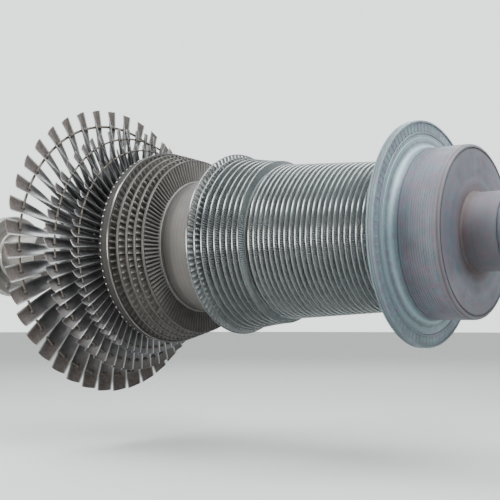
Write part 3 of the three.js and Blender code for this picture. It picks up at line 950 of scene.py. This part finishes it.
class ROTOR_OT_free_rows(bpy.types.Operator):
    """Builds the three free-standing low-pressure blade rows and their lacing wires."""

    bl_idname = "rotor.free_rows"
    bl_label = "Free-standing rows"

    # x and wire_x are stations from the wheel, half is half the width of the root ring, and root, tip and
    # wire are radii. Pairs go from root to tip, and fours to 0, 0.5, 0.8 and 1 of the height.
    # camber is a share of the chord, and gauge one of the wire radius.
    rows = (
        {
            "node": "third_last_blade_row", "x": -1.784, "count": 68, "phase": 0.0, "erosion": 0.5,
            "root": 0.383, "half": 0.033, "tip": 0.619, "flare": 0.2, "chord": (0.054, 0.054),
            "stagger": (20, 53), "thick": (0.013, 0.008, 0.006, 0.004), "camber": (0.24, 0.22, 0.17, 0.1),
            "wire": 0.583, "wire_x": -1.776, "gauge": 0.65,
        },
        {
            "node": "second_last_blade_row", "x": -1.888, "count": 56, "phase": 0.0, "erosion": 0.8,
            "root": 0.390, "half": 0.041, "tip": 0.716, "flare": 0.3, "chord": (0.074, 0.076),
            "stagger": (17, 64), "thick": (0.017, 0.011, 0.008, 0.005), "camber": (0.24, 0.23, 0.18, 0.08),
            "wire": 0.660, "wire_x": -1.88, "gauge": 0.85,
        },
        {
            "node": "last_blade_row", "x": -2.064, "count": 40, "phase": -0.29, "erosion": 1.0,
            "root": 0.400, "half": 0.052, "tip": 0.847, "flare": 0.45, "chord": (0.102, 0.094),
            "stagger": (12, 76), "thick": (0.024, 0.015, 0.011, 0.006), "camber": (0.24, 0.25, 0.2, 0.05),
            "wire": 0.752, "wire_x": -2.064, "gauge": 1.1,
        },
    )

    def execute(self, context):
        finish = dark_blades()
        for row in self.rows:
            self.build(row, finish)
        return {"FINISHED"}

    def build(self, row, finish):
        """One row: its blades, root ring, lacing wire and bosses."""
        s = sizes()
        x = WHEEL + row["x"]
        t = np.linspace(0, 1, 11)
        marks = (0, 0.5, 0.8, 1)
        chord = np.interp(t, (0, 1), row["chord"])
        stagger = row["stagger"][0] + (row["stagger"][1] - row["stagger"][0]) * t ** 1.1
        thick = np.interp(t, marks, row["thick"])
        camber = chord * np.interp(t, marks, row["camber"])
        span = row["root"] - 0.006 + (row["tip"] - row["root"] + 0.006) * t
        points, faces, edge, reach = blade(span, chord, stagger, thick, camber, 16, row["flare"])
        points = points + np.array([x, 0.0, 0.0])
        shape = Shape()
        count = row["count"]
        copies, copied = around(points, faces, count, row["phase"])
        shape.add(copies, copied, np.tile(edge ** 0.65, count), np.tile(reach, count) * row["erosion"])
        foot = LOW_DRUM + CLEARANCE
        shape.add(*platform(x - row["half"], x + row["half"], foot, row["root"], s.segments, 0.003))
        wire = s.wire_radius * row["gauge"]
        turn = np.linspace(0, 2 * np.pi, 12, endpoint=False)[::-1]
        along = WHEEL + row["wire_x"] + wire * np.cos(turn)
        profile = np.stack([along, row["wire"] + wire * np.sin(turn)], axis=-1)
        shape.add(*turned(profile, s.segments, closed=True), 0.0, 2.0)
        self.bosses(shape, row, wire)
        shape.finish(row["node"] + "_surface", finish, "blade_steel", [row["node"]])

    def bosses(self, shape, row, wire):
        """Thickened bosses where the wire passes each blade: an ellipsoid, longest along the blade.

        P(p, t) = (a cos p cos t, b sin p, c cos p sin t), with a and c along the axis and the blade.
        """
        turn = np.linspace(0, 2 * np.pi, 12, endpoint=False)
        rise = np.linspace(-np.pi / 2, np.pi / 2, 8)[:, None]
        a, b, c = 1.6 * wire, 1.4 * wire, 2.1 * wire
        x = a * np.cos(rise) * np.cos(turn)
        y = b * np.sin(rise) * np.ones_like(turn)
        z = c * np.cos(rise) * np.sin(turn)
        points = np.stack([x + WHEEL + row["wire_x"], y, z + row["wire"]], axis=-1).reshape(-1, 3)
        copies, faces = around(points, [grid_faces(8, 12)], row["count"], row["phase"])
        shape.add(copies, faces, 0.0, 0.9)


class ROTOR_OT_stage(bpy.types.Operator):
    """Sets the floor, the lights and the camera."""

    bl_idname = "rotor.stage"
    bl_label = "Stage"

    def execute(self, context):
        self.floor()
        self.lights(context)
        self.camera(context)
        return {"FINISHED"}

    def floor(self):
        """Round floor, wide enough to reach the horizon."""
        radius, sides = 40.0, 96
        turn = np.linspace(0, 2 * np.pi, sides, endpoint=False)
        height = np.full(sides, sizes().floor_height)
        edge = np.stack([radius * np.cos(turn), radius * np.sin(turn), height], axis=-1)
        mesh = bpy.data.meshes.new("floor")
        mesh.from_pydata(edge.tolist(), [], [range(sides)])
        mesh.materials.append(floor_paint("floor paint", colours().floor))
        floor = bpy.data.objects.new("floor", mesh)
        bpy.context.scene.collection.objects.link(floor)

    def lights(self, context):
        """Pale surroundings, brighter on one side, and soft area lights.

        A light has a name, place, target, size, power in watts and colour.
        """
        world = context.scene.world or bpy.data.worlds.new("studio")
        context.scene.world = world
        world.use_nodes = True
        tree = world.node_tree
        sky = tree.nodes["Background"]
        sky.inputs["Color"].default_value = (0.9, 0.94, 0.93, 1.0)
        direction = tree.nodes.new("ShaderNodeTexCoord")
        facing = tree.nodes.new("ShaderNodeVectorMath")
        facing.operation = "DOT_PRODUCT"
        facing.inputs[1].default_value = (-0.6, 0.8, 0.0)
        falloff = tree.nodes.new("ShaderNodeMapRange")
        for label, value in (("From Min", -0.7), ("From Max", 0.7), ("To Min", 0.58), ("To Max", 2.1)):
            falloff.inputs[label].default_value = value
        tree.links.new(direction.outputs["Generated"], facing.inputs[0])
        tree.links.new(facing.outputs["Value"], falloff.inputs["Value"])
        tree.links.new(falloff.outputs["Result"], sky.inputs["Strength"])
        for name, place, target, size, power, colour in (
            ("overhead_light", (3.75, -0.7, 3.3), (2.9, 0.0, 0.0), (2.4, 2.4), 240, (0.93, 1.0, 1.0)),
            ("sky_light", (-2.0, 6.0, 6.0), (2.4, 0.0, 0.0), (5.0, 5.0), 480, (0.93, 1.0, 1.0)),
            ("window_light", (-0.5, -4.1, 0.65), (1.9, 0.0, 0.0), (4.6, 0.8), 135, (1.0, 0.97, 0.9)),
            ("high_window_light", (-1.0, -2.7, 3.55), (2.1, -0.3, 0.2), (4.6, 0.95), 320, (0.97, 1.0, 1.0)),
            ("low_light", (-0.1, -3.3, -0.25), (0.97, -0.3, -0.6), (1.8, 0.8), 95, (1.0, 0.98, 0.95)),
            ("fill_light", (5.6, -2.8, 3.5), (2.1, 0.0, 0.2), (2.0, 2.0), 155, (0.97, 1.0, 1.0)),
            ("end_light", (5.2, 0.6, 3.2), (3.1, 0.0, 0.5), (1.6, 1.6), 120, (0.93, 0.99, 1.0)),
        ):
            data = bpy.data.lights.new(name, "AREA")
            data.shape = "RECTANGLE"
            data.size, data.size_y = size
            data.energy = power
            data.color = colour
            light = bpy.data.objects.new(name, data)
            away = Vector(place) - Vector(target)
            light.matrix_world = Matrix.Translation(place) @ away.to_track_quat("Z", "Y").to_matrix().to_4x4()
            context.scene.collection.objects.link(light)

    def camera(self, context):
        """Camera at the photograph's angle: tilted from straight down, then turned round Z."""
        data = bpy.data.cameras.new("camera")
        data.sensor_width = 36.0
        data.lens = 72.0
        data.shift_y = 0.1
        data.clip_end = 200.0
        camera = bpy.data.objects.new("camera", data)
        tilt, turn = np.radians((90.89, 36.552))
        facing = Euler((tilt, 0.0, turn)).to_matrix().to_4x4()
        camera.matrix_world = Matrix.Translation((5.2637, -4.4092, -0.3920)) @ facing
        context.scene.collection.objects.link(camera)
        context.scene.camera = camera


class ROTOR_PT_panel(bpy.types.Panel):
    """Lists the rotor's sizes, colours and pieces."""

    bl_idname = "ROTOR_PT_panel"
    bl_label = "Steam turbine rotor"
    bl_space_type = "VIEW_3D"
    bl_region_type = "UI"
    bl_category = "Rotor"

    def draw(self, context):
        for group in (context.scene.rotor_sizes, context.scene.rotor_colours):
            column = self.layout.column(align=True)
            for key in group.bl_rna.properties.keys():
                if key not in {"rna_type", "name"}:
                    column.prop(group, key)
        for operator in OPERATORS:
            self.layout.operator(operator.bl_idname)


OPERATORS = (
    ROTOR_OT_shaft_ends,
    ROTOR_OT_drum,
    ROTOR_OT_wheel,
    ROTOR_OT_piston,
    ROTOR_OT_high_pressure_rows,
    ROTOR_OT_low_pressure_rows,
    ROTOR_OT_free_rows,
    ROTOR_OT_stage,
)
CLASSES = (RotorSizes, RotorColours, *OPERATORS, ROTOR_PT_panel)


def register():
    for cls in CLASSES:
        bpy.utils.register_class(cls)
    bpy.types.Scene.rotor_sizes = bpy.props.PointerProperty(type=RotorSizes)
    bpy.types.Scene.rotor_colours = bpy.props.PointerProperty(type=RotorColours)


def unregister():
    del bpy.types.Scene.rotor_colours
    del bpy.types.Scene.rotor_sizes
    for cls in reversed(CLASSES):
        bpy.utils.unregister_class(cls)


def main():
    register()
    for operator in OPERATORS:
        group, action = operator.bl_idname.split(".")
        getattr(getattr(bpy.ops, group), action)()


if __name__ == "__main__":
    main()
